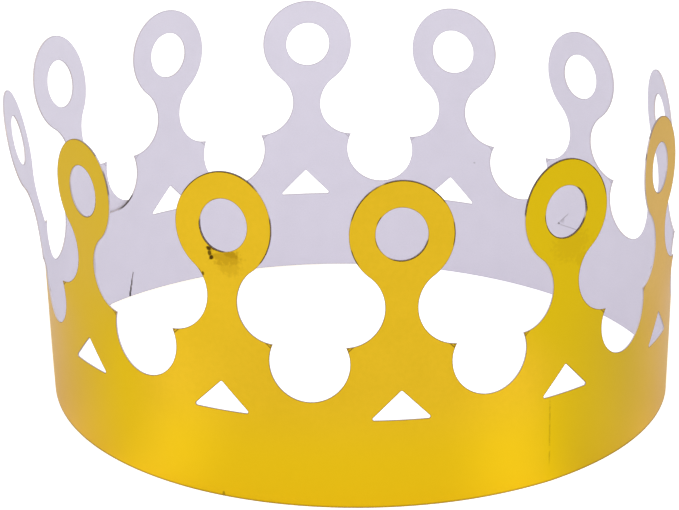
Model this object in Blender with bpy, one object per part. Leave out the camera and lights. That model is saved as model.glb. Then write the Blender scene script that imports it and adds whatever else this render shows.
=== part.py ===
"""Paper crown: one die-cut strip of foil card, rolled into a ring and closed by lapping its two ends.

The card is drawn flat first, as a die maker would: twelve like tiles, each with one ringed point, and a
tab at either end. It is given its thickness, and then rolled up on a wall that leans out towards the lap.
The crown stands on its bottom edge, centred on its own box, with +Z up and the lap at the back left.
"""
import math

import bmesh
import bpy
import numpy as np
from mathutils import Matrix, Vector

MM = 0.001

# The card
POINT_COUNT = 12
FRONT_POINT_INDEX = 4
PITCH = 52.2 * MM
CARD_THICKNESS = 0.4 * MM

# One point of the crown: two neck circles rest on the notch circle, and the ring rests on them
NOTCH_FLOOR_HEIGHT = 31.2 * MM
NOTCH_RADIUS = 11.5 * MM
NECK_RADIUS = 11.2 * MM
NECK_WIDTH = 9.4 * MM
CUSP_BITE = 3.5 * MM
RING_RADIUS = 15.2 * MM
HOLE_RADIUS = 7.5 * MM

# The triangular window under each point; the die left one of them standing
UNPUNCHED_WINDOW_INDEX = 8
WINDOW_BASE_HEIGHT = 26.1 * MM
WINDOW_WIDTH = 18.0 * MM
WINDOW_HEIGHT = 8.8 * MM
WINDOW_CORNER_RADIUS = 0.5 * MM

# The lap: the inner end is a long tab, the outer end a short one
LAP = 14.9 * MM
PLY_GAP = 0.35 * MM
PLY_EASING = 40.0 * MM
INNER_TAB_LENGTH = 14.0 * MM
INNER_TAB_CORNER_RADIUS = 12.0 * MM
OUTER_TAB_LENGTH = 5.0 * MM
OUTER_TAB_CORNER_RADIUS = 3.0 * MM
SLIT_INSET = 5.0 * MM
SLIT_DEPTH = 8.2 * MM
SLIT_SLANT = 2.3 * MM
SLIT_WIDTH = 0.5 * MM

# How the rolled card stands
FRONT_POINT_DEGREES = -83.5
TIP_CURL = 1.1 * MM
INNER_END_RISE = 4.3 * MM
OUTER_END_RISE = 5.6 * MM
END_RISE_RUN = 130.0 * MM
# Waves round the ring: how many, then the cosine and the sine part
OUT_OF_ROUND_SHARES = ((2, -0.013, 0.002), (3, 0.004, -0.002), (4, 0.004, 0), (5, 0, 0.002))
MEAN_LEAN_DEGREES = 0.9
LEAN_WAVES_DEGREES = ((1, -1.2, 2.2), (2, 1, -0.6), (3, 0.4, -0.1), (4, -0.1, 0.5))
# How far each head is turned about its own neck, and bent outwards there, counted from the outer end
HEAD_TURNS_DEGREES = (2, 7, 3, 2, 1, 2, -0.5, 0.5, 1.5, -3.5, 1, -3)
HEAD_BENDS_DEGREES = (9, 11, 1, -1, 0.5, -0.5, -1.5, -5, -2.5, 0, -0.5, 0)

# How finely round shapes are drawn
COLUMNS_PER_PITCH = 8
RING_STEPS = 10
NECK_STEPS = 10
NOTCH_STEPS = 6
HOLE_STEPS = 20
CORNER_STEPS = 3
PATH_STEPS_PER_TURN = 2400
WELD_DISTANCE = 0.01 * MM

# Where the circles of one point lie
HALF_PITCH = PITCH / 2
NOTCH_CENTRE = Vector((HALF_PITCH, NOTCH_FLOOR_HEIGHT + NOTCH_RADIUS))
NECK_X = NECK_WIDTH / 2 + NECK_RADIUS
NECK_TO_NOTCH = NECK_RADIUS + NOTCH_RADIUS - CUSP_BITE
NECK_CENTRE = Vector((NECK_X, NOTCH_CENTRE.y + math.sqrt(NECK_TO_NOTCH ** 2 - (HALF_PITCH - NECK_X) ** 2)))
NECK_TO_RING = NECK_RADIUS + RING_RADIUS
RING_CENTRE = Vector((0, NECK_CENTRE.y + math.sqrt(NECK_TO_RING ** 2 - NECK_X ** 2)))
STRIP_HEIGHT = RING_CENTRE.y + RING_RADIUS

FOIL_SLOT = 0
CARD_SLOT = 1


def clear_scene():
    """Remove every object of the scene."""
    for thing in list(bpy.data.objects):
        bpy.data.objects.remove(thing)


def arc(centre, radius, start, end, steps):
    """Points on a circle, from one angle to another, with both ends."""
    angles = (start + (end - start) * step / steps for step in range(steps + 1))
    return [(centre[0] + radius * math.cos(a), centre[1] + radius * math.sin(a)) for a in angles]


def direction(start, end):
    """Angle of the line from one point to another."""
    return math.atan2(end[1] - start[1], end[0] - start[0])


def corner_angle(beside, other, opposite):
    """Angle of a triangle between the sides beside and other, by the law of cosines."""
    return math.acos((beside ** 2 + other ** 2 - opposite ** 2) / (2 * beside * other))


def right_half_outline():
    """Upper edge of half a tile: from the top of the ring, down the neck and shoulder, to the notch floor."""
    to_neck = direction(RING_CENTRE, NECK_CENTRE)
    to_notch = direction(NECK_CENTRE, NOTCH_CENTRE)
    cusp_from_neck = to_notch - corner_angle(NECK_RADIUS, NECK_TO_NOTCH, NOTCH_RADIUS)
    cusp_from_notch = to_notch + math.pi + corner_angle(NOTCH_RADIUS, NECK_TO_NOTCH, NECK_RADIUS)
    ring = arc(RING_CENTRE, RING_RADIUS, math.pi / 2, to_neck, RING_STEPS)
    neck = arc(NECK_CENTRE, NECK_RADIUS, to_neck + math.pi, cusp_from_neck + 2 * math.pi, NECK_STEPS)
    notch = arc(NOTCH_CENTRE, NOTCH_RADIUS, cusp_from_notch, 3 * math.pi / 2, NOTCH_STEPS)
    return ring + neck[1:] + notch[1:]


def slit_outline():
    """The slanted slit that runs up from the bottom edge beside the last notch, widest at its mouth."""
    mouth = HALF_PITCH - SLIT_INSET
    tip = mouth - SLIT_SLANT
    half = SLIT_WIDTH / 2
    return [(mouth + half, 0), (tip + half, SLIT_DEPTH), (tip - half, SLIT_DEPTH), (mouth - half, 0)]


def tile_outline(with_slit):
    """Closed outline of one tile: a ringed point on its stretch of band."""
    right = right_half_outline()
    left = [(-x, z) for x, z in reversed(right[1:])]
    bottom = [(HALF_PITCH, 0)] + (slit_outline() if with_slit else []) + [(-HALF_PITCH, 0)]
    return right + bottom + left


def rounded_polygon(corners, radius, steps):
    """Corners of an anticlockwise polygon, each replaced by a small arc."""
    points = []
    for index, corner in enumerate(corners):
        here = Vector(corner)
        back = (Vector(corners[index - 1]) - here).normalized()
        onward = (Vector(corners[(index + 1) % len(corners)]) - here).normalized()
        half_angle = back.angle(onward) / 2
        centre = here + (back + onward).normalized() * (radius / math.sin(half_angle))
        middle = direction(centre, here)
        spread = math.pi / 2 - half_angle
        points += arc(centre, radius, middle - spread, middle + spread, steps)
    return points


def window_outline():
    """The triangular window, with the small corner radius that the cutting rule leaves."""
    half = WINDOW_WIDTH / 2
    top = WINDOW_BASE_HEIGHT + WINDOW_HEIGHT
    corners = ((-half, WINDOW_BASE_HEIGHT), (half, WINDOW_BASE_HEIGHT), (0, top))
    return rounded_polygon(corners, WINDOW_CORNER_RADIUS, CORNER_STEPS)


def tab_outline(length, corner_radius):
    """A plain tab as tall as the notch floor, with its free upper corner rounded."""
    radius = min(corner_radius, length, NOTCH_FLOOR_HEIGHT)
    centre = (length - radius, NOTCH_FLOOR_HEIGHT - radius)
    return [(0, 0), (length, 0)] + arc(centre, radius, 0, math.pi / 2, NOTCH_STEPS) + [(0, NOTCH_FLOOR_HEIGHT)]


def flat_sheet(outlines):
    """Mesh of a flat filled 2D curve, in the XZ plane with its foil side towards -Y."""
    curve = bpy.data.curves.new("cutting_rule", "CURVE")
    curve.dimensions = "2D"
    curve.fill_mode = "BOTH"
    for outline in outlines:
        spline = curve.splines.new("POLY")
        spline.points.add(len(outline) - 1)
        for point, (x, z) in zip(spline.points, outline):
            point.co = (x, z, 0, 1)
        spline.use_cyclic_u = True
    drawing = bpy.data.objects.new("cutting_rule", curve)
    bpy.context.scene.collection.objects.link(drawing)
    evaluated = drawing.evaluated_get(bpy.context.evaluated_depsgraph_get())
    sheet = bpy.data.meshes.new_from_object(evaluated)
    bpy.data.objects.remove(drawing)

    bm = bmesh.new()
    bm.from_mesh(sheet)
    bmesh.ops.remove_doubles(bm, verts=bm.verts, dist=WELD_DISTANCE)
    bmesh.ops.rotate(bm, verts=bm.verts, cent=(0, 0, 0), matrix=Matrix.Rotation(math.pi / 2, 3, "X"))
    inner_edges = [edge for edge in bm.edges if not edge.is_boundary]
    bmesh.ops.dissolve_limit(bm, angle_limit=math.radians(1), verts=[], edges=inner_edges)
    towards_back = [face for face in bm.faces if face.normal.y > 0]
    bmesh.ops.reverse_faces(bm, faces=towards_back)
    bm.to_mesh(sheet)
    bm.free()
    return sheet


def add_sheet(bm, sheet, along, mirror=False):
    """Add a flat sheet to the strip, moved along it and turned end for end if asked."""
    first_vert = len(bm.verts)
    first_face = len(bm.faces)
    bm.from_mesh(sheet)
    bm.verts.ensure_lookup_table()
    bm.faces.ensure_lookup_table()
    new_verts = bm.verts[first_vert:]
    if mirror:
        bmesh.ops.scale(bm, verts=new_verts, vec=(-1, 1, 1))
        bmesh.ops.reverse_faces(bm, faces=bm.faces[first_face:])
    bmesh.ops.translate(bm, verts=new_verts, vec=(along, 0, 0))


def cut(bm, place, normal):
    """Cut the flat strip along a line, so that it can bend there."""
    everything = bm.verts[:] + bm.edges[:] + bm.faces[:]
    bmesh.ops.bisect_plane(bm, geom=everything, dist=WELD_DISTANCE, plane_co=place, plane_no=normal)


def strip_ends():
    """Where the first and the last notch axis lie along the strip, from the front point's axis."""
    start = -(FRONT_POINT_INDEX + 0.5) * PITCH
    return start, start + POINT_COUNT * PITCH


def flat_strip():
    """The whole die-cut strip as a closed flat solid about the XZ plane, foil side towards -Y."""
    start, end = strip_ends()
    hole = arc(RING_CENTRE, HOLE_RADIUS, 0, 2 * math.pi, HOLE_STEPS)[1:]
    plain_tile = flat_sheet([tile_outline(with_slit=False), window_outline(), hole])
    unpunched_tile = flat_sheet([tile_outline(with_slit=False), hole])
    slit_tile = flat_sheet([tile_outline(with_slit=True), window_outline(), hole])
    inner_tab = flat_sheet([tab_outline(INNER_TAB_LENGTH, INNER_TAB_CORNER_RADIUS)])
    outer_tab = flat_sheet([tab_outline(OUTER_TAB_LENGTH, OUTER_TAB_CORNER_RADIUS)])

    bm = bmesh.new()
    add_sheet(bm, outer_tab, start, mirror=True)
    for index in range(POINT_COUNT - 1):
        tile = unpunched_tile if index == UNPUNCHED_WINDOW_INDEX else plain_tile
        add_sheet(bm, tile, start + (index + 0.5) * PITCH)
    add_sheet(bm, slit_tile, end - HALF_PITCH)
    add_sheet(bm, inner_tab, end)
    bmesh.ops.remove_doubles(bm, verts=bm.verts, dist=WELD_DISTANCE)

    column_width = PITCH / COLUMNS_PER_PITCH
    for column in range(-COLUMNS_PER_PITCH, (POINT_COUNT + 1) * COLUMNS_PER_PITCH):
        cut(bm, (start + column * column_width, 0, 0), (1, 0, 0))
    mid_neck = (NOTCH_CENTRE.y + NECK_CENTRE.y) / 2
    for height in (NOTCH_FLOOR_HEIGHT, NOTCH_CENTRE.y, mid_neck, NECK_CENTRE.y, RING_CENTRE.y):
        cut(bm, (0, 0, height), (0, 0, 1))
    bmesh.ops.triangulate(bm, faces=bm.faces)
    bmesh.ops.solidify(bm, geom=bm.faces[:], thickness=CARD_THICKNESS)
    bmesh.ops.translate(bm, verts=bm.verts, vec=(0, -CARD_THICKNESS / 2, 0))
    for face in bm.faces:
        face.material_index = FOIL_SLOT if face.normal.y < -0.5 else CARD_SLOT
    return bm


def waves(angles, terms):
    """Sum of the waves round the ring at some angles."""
    return sum(cosine * np.cos(count * angles) + sine * np.sin(count * angles) for count, cosine, sine in terms)


class Wall:
    """The leaning wall that the card is rolled on, found from a distance round its foot and a height."""

    def __init__(self):
        start, end = strip_ends()
        front = math.radians(FRONT_POINT_DEGREES)
        angles = front + np.linspace(-2 * math.pi, 2 * math.pi, 2 * PATH_STEPS_PER_TURN + 1)
        radii = 1 + waves(angles, OUT_OF_ROUND_SHARES)
        places = np.stack((radii * np.cos(angles), radii * np.sin(angles)), axis=1)
        steps = np.linalg.norm(np.diff(places, axis=0), axis=1)
        distances = np.concatenate(([0], np.cumsum(steps)))
        size = (end - start - LAP) / distances[PATH_STEPS_PER_TURN]
        tangents = np.gradient(places, axis=0)
        tangents /= np.linalg.norm(tangents, axis=1)[:, None]
        leans = MEAN_LEAN_DEGREES + waves(angles, LEAN_WAVES_DEGREES)
        self.distances = (distances - distances[PATH_STEPS_PER_TURN]) * size
        self.columns = (*(places * size).T, tangents[:, 1], -tangents[:, 0], np.radians(leans))

    def place(self, distance, height_up_card, rise, out):
        """Point of the wall: height_up_card along its slope, above a start at the height rise."""
        x, y, out_x, out_y, lean = (np.interp(distance, self.distances, column) for column in self.columns)
        height = rise + height_up_card * math.cos(lean)
        curl = TIP_CURL * (height / STRIP_HEIGHT) ** 2
        offset = out + height * math.tan(lean) - curl
        return Vector((x + out_x * offset, y + out_y * offset, height))


def eased(share):
    """Smooth step from 0 to 1."""
    share = min(max(share, 0), 1)
    return share * share * (3 - 2 * share)


def end_rise(run):
    """How far the bottom edge has risen at a distance along the strip, and how steeply."""
    start, end = strip_ends()
    inner_share = max(run - (end - END_RISE_RUN), 0) / END_RISE_RUN
    outer_share = max(start + END_RISE_RUN - run, 0) / END_RISE_RUN
    rise = INNER_END_RISE * inner_share ** 2 + OUTER_END_RISE * outer_share ** 2
    slope = 2 * (INNER_END_RISE * inner_share - OUTER_END_RISE * outer_share) / END_RISE_RUN
    return rise, slope


def ply_shift(run):
    """How far a ply stands out from the middle of the lap: inwards at the inner end, outwards at the other."""
    start, end = strip_ends()
    shift = (CARD_THICKNESS + PLY_GAP) / 2
    inner_full = end - LAP - OUTER_TAB_LENGTH
    outer_full = start + LAP + INNER_TAB_LENGTH
    inner = eased((run - inner_full) / PLY_EASING + 1)
    outer = eased((outer_full - run) / PLY_EASING + 1)
    return shift * (outer - inner)


def head_bend(run, up):
    """Where a point's own shape brings a place of the card: its new run, and how far it goes out.

    A point comes out of the roll as it rises from the notch floor, and is flat above its neck. There it is
    also turned and bent a little.
    """
    start, end = strip_ends()
    index = min(max(math.floor((run - start) / PITCH), 0), POINT_COUNT - 1)
    axis = start + (index + 0.5) * PITCH
    neck_length = NECK_CENTRE.y - NOTCH_CENTRE.y
    neck_share = min(max((up - NOTCH_CENTRE.y) / neck_length, 0), 1)
    above_neck = max(up - NECK_CENTRE.y, 0)
    turn = math.radians(HEAD_TURNS_DEGREES[index]) * eased(neck_share)
    bend = math.tan(math.radians(HEAD_BENDS_DEGREES[index])) * (above_neck + neck_length * neck_share ** 2 / 2)
    beside = (run - axis) * math.cos(turn)
    flatness = eased((up - NOTCH_FLOOR_HEIGHT) / (NECK_CENTRE.y - NOTCH_FLOOR_HEIGHT))
    roll_radius = (end - start - LAP) / (2 * math.pi)
    unrolled = flatness * (math.hypot(roll_radius, beside) - roll_radius)
    drawn_in = flatness * (beside - roll_radius * math.atan(beside / roll_radius))
    return axis + beside - drawn_in, (run - axis) * math.sin(turn) + bend + unrolled


def on_wall(wall, run, up, out):
    """Where a place of the flat strip goes on the wall; out is measured from the middle of the card."""
    run, bend = head_bend(run, up)
    rise, slope = end_rise(run)
    return wall.place(run - up * slope, up, rise, ply_shift(run) + bend + out)


def roll_up(bm):
    """Roll the flat strip up on the wall, and centre the crown on its box."""
    wall = Wall()
    for vert in bm.verts:
        run, inward, up = vert.co
        vert.co = on_wall(wall, run, up, -inward)
    xs = [vert.co.x for vert in bm.verts]
    ys = [vert.co.y for vert in bm.verts]
    middle = Vector((min(xs) + max(xs), min(ys) + max(ys), 0)) / 2
    bmesh.ops.translate(bm, verts=bm.verts, vec=-middle)


def plain_material(name, colour, roughness, metallic):
    """A Principled material."""
    material = bpy.data.materials.new(name)
    material.use_nodes = True
    principled = material.node_tree.nodes["Principled BSDF"]
    principled.inputs["Base Color"].default_value = (*colour, 1)
    principled.inputs["Roughness"].default_value = roughness
    principled.inputs["Metallic"].default_value = metallic
    return material


def build_crown():
    """Make the crown's one piece in its own collection."""
    bm = flat_strip()
    roll_up(bm)
    mesh = bpy.data.meshes.new("crown_strip")
    bm.to_mesh(mesh)
    bm.free()
    mesh.materials.append(plain_material("gold_foil", (0.76, 0.5, 0.03), 0.3, 1))
    mesh.materials.append(plain_material("white_card", (0.8, 0.78, 0.84), 0.7, 0))
    mesh.shade_smooth()
    mesh.set_sharp_from_angle(angle=math.radians(30))
    strip = bpy.data.objects.new("crown_strip", mesh)
    crown = bpy.data.collections.new("paper_crown")
    bpy.context.scene.collection.children.link(crown)
    crown.objects.link(strip)


clear_scene()
build_crown()
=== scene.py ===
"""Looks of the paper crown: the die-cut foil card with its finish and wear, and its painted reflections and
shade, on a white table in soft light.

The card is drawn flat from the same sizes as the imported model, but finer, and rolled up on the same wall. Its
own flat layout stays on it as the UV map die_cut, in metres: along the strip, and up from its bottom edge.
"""
import math

import bmesh
import bpy
import numpy as np
from mathutils import Matrix, Vector


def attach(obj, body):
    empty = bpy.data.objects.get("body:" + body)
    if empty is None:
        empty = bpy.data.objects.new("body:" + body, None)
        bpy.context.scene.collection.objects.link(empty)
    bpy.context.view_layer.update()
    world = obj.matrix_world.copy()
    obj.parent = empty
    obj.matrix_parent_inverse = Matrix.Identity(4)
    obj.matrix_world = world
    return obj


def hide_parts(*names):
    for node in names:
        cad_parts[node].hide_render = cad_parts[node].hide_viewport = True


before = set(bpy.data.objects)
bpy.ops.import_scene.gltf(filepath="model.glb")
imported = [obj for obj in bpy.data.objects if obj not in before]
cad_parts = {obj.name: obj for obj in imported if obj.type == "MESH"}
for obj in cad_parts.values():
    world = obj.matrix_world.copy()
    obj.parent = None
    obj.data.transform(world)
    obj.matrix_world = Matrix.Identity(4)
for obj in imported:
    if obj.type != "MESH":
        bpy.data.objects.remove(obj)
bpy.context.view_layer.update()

MM = 0.001

# The card
POINT_COUNT = 12
FRONT_POINT_INDEX = 4
PITCH = 52.2 * MM
CARD_THICKNESS = 0.4 * MM

# One point of the crown: two neck circles rest on the notch circle, and the ring rests on them
NOTCH_FLOOR_HEIGHT = 31.2 * MM
NOTCH_RADIUS = 11.5 * MM
NECK_RADIUS = 11.2 * MM
NECK_WIDTH = 9.4 * MM
CUSP_BITE = 3.5 * MM
RING_RADIUS = 15.2 * MM
HOLE_RADIUS = 7.5 * MM

# The triangular window under each point; the die left one of them standing
UNPUNCHED_WINDOW_INDEX = 8
WINDOW_BASE_HEIGHT = 26.1 * MM
WINDOW_WIDTH = 18.0 * MM
WINDOW_HEIGHT = 8.8 * MM
WINDOW_CORNER_RADIUS = 0.5 * MM

# The die only scored part of the standing window, from its right corner
SCORE_WIDTH = 0.06 * MM
SCORE_SIDE_SHARE = 0.5
SCORE_BASE_SHARE = 0.6

# The lap: the inner end is a long tab, the outer end a short one
LAP = 14.9 * MM
PLY_GAP = 0.35 * MM
PLY_EASING = 40.0 * MM
INNER_TAB_LENGTH = 14.0 * MM
INNER_TAB_CORNER_RADIUS = 12.0 * MM
OUTER_TAB_LENGTH = 5.0 * MM
OUTER_TAB_CORNER_RADIUS = 3.0 * MM
SLIT_INSET = 5.0 * MM
SLIT_DEPTH = 8.2 * MM
SLIT_SLANT = 2.3 * MM
SLIT_WIDTH = 0.5 * MM

# How the rolled card stands
FRONT_POINT_DEGREES = -83.5
TIP_CURL = 1.1 * MM
INNER_END_RISE = 4.3 * MM
OUTER_END_RISE = 5.6 * MM
END_RISE_RUN = 130.0 * MM
# Waves round the ring: how many, then the cosine and the sine part
OUT_OF_ROUND_SHARES = ((2, -0.013, 0.002), (3, 0.004, -0.002), (4, 0.004, 0), (5, 0, 0.002))
MEAN_LEAN_DEGREES = 0.9
LEAN_WAVES_DEGREES = ((1, -1.2, 2.2), (2, 1, -0.6), (3, 0.4, -0.1), (4, -0.1, 0.5))
# How far each head is turned about its own neck, and bent outwards there, counted from the outer end
HEAD_TURNS_DEGREES = (2, 7, 3, 2, 1, 2, -0.5, 0.5, 1.5, -3.5, 1, -3)
HEAD_BENDS_DEGREES = (9, 11, 1, -1, 0.5, -0.5, -1.5, -5, -2.5, 0, -0.5, 0)

# How finely the card is drawn
COLUMNS_PER_PITCH = 32
ROW_HEIGHT = 2.4 * MM
RING_STEPS = 40
NECK_STEPS = 30
NOTCH_STEPS = 18
HOLE_STEPS = 96
CORNER_STEPS = 4
PATH_STEPS_PER_TURN = 2400
WELD_DISTANCE = 0.01 * MM
MOST_CORNERS = 4
SMALLEST_POKED = 0.1 * MM
FLAT_WITHIN_DEGREES = 1
SHARP_FROM_DEGREES = 30
POINTS_AT_ONCE = 4000
# The order of the crown's materials
FOIL_INDEX, CARD_INDEX, EDGE_INDEX = range(3)

# Where the circles of one point lie
HALF_PITCH = PITCH / 2
NOTCH_CENTRE = Vector((HALF_PITCH, NOTCH_FLOOR_HEIGHT + NOTCH_RADIUS))
NECK_X = NECK_WIDTH / 2 + NECK_RADIUS
NECK_TO_NOTCH = NECK_RADIUS + NOTCH_RADIUS - CUSP_BITE
NECK_CENTRE = Vector((NECK_X, NOTCH_CENTRE.y + math.sqrt(NECK_TO_NOTCH ** 2 - (HALF_PITCH - NECK_X) ** 2)))
NECK_TO_RING = NECK_RADIUS + RING_RADIUS
RING_CENTRE = Vector((0, NECK_CENTRE.y + math.sqrt(NECK_TO_RING ** 2 - NECK_X ** 2)))
STRIP_HEIGHT = RING_CENTRE.y + RING_RADIUS
STRIP_START = -(FRONT_POINT_INDEX + 0.5) * PITCH
STRIP_END = STRIP_START + POINT_COUNT * PITCH

# Colours, as they look on a screen
GOLD = (226, 185, 38)
DULL_GOLD = (221, 181, 35)
# Painted reflections in the foil's tone, where it mirrors the shaded table and darker surroundings
FOOT_REFLECTION_GOLD = (227, 189, 23)
OLIVE_REFLECTION_GOLD = (215, 183, 16)
GREEN_REFLECTION_GOLD = (228, 192, 2)
# Painted shade along the foil's cut edges and its foot
EDGE_SHADE_GOLD = (140, 108, 30)
CARD_WHITE = (227, 222, 235)
CARD_SHADE = (223, 218, 231)
# Painted shade along the white side's cut edges, and a tone of the cut core's grain
CARD_EDGE_SHADE = (196, 190, 202)
BARE_EDGE = (214, 200, 196)
# Painted shade on the upward-facing rims of the front heads
RIM_SHADE_BROWN = (66, 40, 10)
# Colour of the foil's dark spots of wear, and of the painted shade along the crease
DIRT_AND_CREASE_SHADE = (72, 50, 14)
# Colour of the white side's specks, and of the painted shadows in the slit and along the last notch's edge
CARD_DIRT_AND_SHADOW = (76, 68, 66)
SMUDGE = (152, 112, 4)

# The grain of each surface
FOIL_UNEVENNESS = {"Grain_Size": 1.6 * MM, "Patch_Size": 14 * MM, "Patch_Share": 0.5}
FOIL_FINE_GRAIN = {"Grain_Size": 0.3 * MM, "Patch_Size": 1.2 * MM, "Patch_Share": 0.4}
CARD_GRAIN = {"Grain_Size": 0.5 * MM, "Patch_Size": 9 * MM, "Patch_Share": 0.45}
EDGE_GRAIN = {"Grain_Size": 0.25 * MM, "Patch_Size": 7 * MM, "Patch_Share": 0.5}
CREASE_GRAIN = {"Grain_Size": 2.6 * MM, "Patch_Size": 0.7 * MM, "Patch_Share": 0.4}
RIM_SHADE_GRAIN = {"Grain_Size": 9 * MM, "Patch_Size": 9 * MM, "Patch_Share": 0.5}
SPOT_GRAIN = 1.1 * MM
GRAIN_DETAIL = 2.0
PATCH_DETAIL = 1.0
SPOT_DETAIL = 3.0
# The grain's middle value, and the stretches of its range that turn into tone
NOISE_MIDDLE = 0.5
NOISE_RANGE = (0.3, 0.7)
CARD_TONE_RANGE = (0.3, 0.75)
CREASE_DASH_RANGE = (0.38, 0.56)
RIM_SHADE_RANGE = (0.5, 0.58)
# Shares of its half size or width at which a mark is gone, and is full
MARK_FADING = (1.1, 0.5)

# Finish of each surface. The foil stretches its highlights, and tints them (a linear colour) at a slant
FOIL_ROUGHNESS = (0.36, 0.39)
WORN_ROUGHNESS = 0.25
FOIL_STRETCH = 0.7
FOIL_STRETCH_TURN = 0.25
FOIL_EDGE_TINT = (1.0, 0.87, 1.0, 1)
FOIL_BUMP_STRENGTH = 0.05
FOIL_WAVE_DEPTH = 0.3 * MM
FINE_GRAIN_DEPTH = 0.03 * MM
CARD_BUMP_STRENGTH = 0.25
CARD_ROUGHNESS = 0.7
CARD_SPECULAR = 0.3
CUT_EDGE_ROUGHNESS = 0.85
CUT_EDGE_SPECULAR = 0.2

# Painted reflections in the foil's tone, where it mirrors the shaded table and darker surroundings: yellower
# near the foot, greener at the far left and low down beyond the crease, and olive from about the crease on,
# sooner on the points, and less so at the far right. Of two runs, heights or widths, here and below, an effect
# starts at the first and is full at the second.
LOW_GOLD_HEIGHTS = (36 * MM, 10 * MM)
GREEN_LEFT_RUNS = (-72 * MM, -90 * MM)
GREEN_RIGHT_RUNS = (43 * MM, 48 * MM)
OLIVE_GOLD_RUNS = (34 * MM, 62 * MM)
OLIVE_SHIFT_ON_POINTS = 20 * MM
OLIVE_FADING_RUNS = (78 * MM, 98 * MM)
OLIVE_FADING = 0.7

# Painted shade: a dark line along the foil's cut edges, where its rounded rim mirrors darkness, a grey line
# along the white side's cut edges, and a dark line along the foot, where it meets the table
EDGE_SHADE_WIDTH = 0.08 * MM
EDGE_SHADE_WIDTH_SPREAD = 0.24 * MM
CARD_EDGE_SHADE_WIDTHS = (0.3 * MM, 0.05 * MM)
FOOT_SHADE_HEIGHTS = (0.7 * MM, 0.7 * MM / 3)
FOOT_SHADE_STRENGTH = 0.5

# Marks of wear on the foil: where they are on the flat card, their half sizes, and how plain they are
DIRT_SPOTS = (
    ((-56.6 * MM, 72.9 * MM), (1.0 * MM, 0.7 * MM), 0.95),
    ((-56.4 * MM, 71.6 * MM), (0.7 * MM, 1.1 * MM), 0.85),
    ((-55.8 * MM, 70.4 * MM), (0.8 * MM, 0.8 * MM), 0.95),
    ((-54.4 * MM, 73.0 * MM), (1.5 * MM, 0.6 * MM), 0.85),
    ((-58.4 * MM, 65.4 * MM), (0.5 * MM, 0.7 * MM), 0.8),
    ((-51.4 * MM, 0.6 * MM), (0.5 * MM, 1.1 * MM), 0.45),
    ((59.9 * MM, 79.6 * MM), (0.3 * MM, 1.0 * MM), 0.7),
    ((51.4 * MM, 72.9 * MM), (1.6 * MM, 0.3 * MM), 0.7),
)
DIRT_RAGGEDNESS = 1.0
SMUDGES = (
    ((-51.3 * MM, 70.8 * MM), (5.6 * MM, 2.8 * MM), 0.42),
    ((-49.7 * MM, 71.9 * MM), (3.2 * MM, 1.3 * MM), 0.6),
    ((-50.0 * MM, 68.0 * MM), (4.4 * MM, 2.6 * MM), 0.22),
    ((54.0 * MM, 70.0 * MM), (8.0 * MM, 5.6 * MM), 0.14),
    ((58.0 * MM, 65.2 * MM), (3.4 * MM, 2.4 * MM), 0.16),
)
SMUDGE_RAGGEDNESS = 1.6
# A soft fold under the point right of the front one, with a broken line of painted shade along it
CREASE_RUN = 46.2 * MM
CREASE_TOP = 26.0 * MM
CREASE_DEPTH = 0.22 * MM
CREASE_REACH = 7.0 * MM
CREASE_LINE_WIDTH = 0.5 * MM
CREASE_LINE_UPPER_END = (CREASE_TOP, CREASE_TOP - 2 * MM)
CREASE_LINE_LOWER_END = (4 * MM, 8 * MM)
CREASE_LINE_STRENGTH = 0.28
# Marks on the white side: a speck, the corner of the standing window, and painted shadow in the slit
CARD_SPOTS_AND_SLIT_SHADOW = (
    ((252.2 * MM, 41.3 * MM), (0.5 * MM, 0.4 * MM), 0.3),
    ((217.1 * MM, 26.4 * MM), (0.6 * MM, 0.45 * MM), 0.6),
    ((386.2 * MM, 0.8 * MM), (0.55 * MM, 1.6 * MM), 1.0),
    ((385.7 * MM, 2.8 * MM), (0.5 * MM, 1.6 * MM), 0.9),
    ((385.1 * MM, 4.9 * MM), (0.5 * MM, 1.6 * MM), 0.65),
)
CARD_SPOT_RAGGEDNESS = 0.4
# Painted shadow along a stretch of the last notch's edge, seen against the ply behind it
NOTCH_EDGE_SHADOW = ((386.4 * MM, 33.2 * MM), (5.4 * MM, 3.2 * MM), 0.95)
NOTCH_EDGE_SHADOW_RAGGEDNESS = 0.8
NOTCH_EDGE_SHADOW_WIDTHS = (0.4 * MM, 0.16 * MM)
# Cut edges of the heads at the front: a bare rim, and inside it a broken brown line of painted shade on the
# rims that face upwards
FRONT_HEAD_RUNS = (130 * MM, 65 * MM)
FRONT_HEAD_HEIGHTS = (62 * MM, 67 * MM)
BARE_RIM_WIDTHS = (0.06 * MM, 0.036 * MM)
RIM_SHADE_WIDTHS = (0.36 * MM, 0.252 * MM)
RIM_SHADE_WHERE_FACING_UP = 0.16

# The camera
CAMERA_DISTANCE = 773.7 * MM
CAMERA_RISE_DEGREES = 20.01
CAMERA_AIM = (-1.86 * MM, -1.88 * MM, 39.69 * MM)
CAMERA_LENS = 131.0

# The table: its size, its tone, and how much it glows where it is seen and where the foil mirrors it
TABLE_SIZE = 8.0
TABLE_WHITE = 0.9
TABLE_ROUGHNESS = 0.9
TABLE_GLOW = 0.5
MIRRORED_GLOW = 0.12
MIRRORED_GLOW_DEGREES = (80, 58)
# Soft pools of light on the table at the front left and right, which sweep outwards with distance
SIDE_POOL_GLOW = 0.22
SIDE_POOL_NEAR_DEGREES = 26
SIDE_POOL_RIGHT_SHIFT_DEGREES = 6
SIDE_POOL_SWEEP_DEGREES_PER_METRE = 110
SIDE_POOL_WIDTH_DEGREES = 16
SIDE_POOL_REACHES = (325 * MM, 200 * MM)

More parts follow.
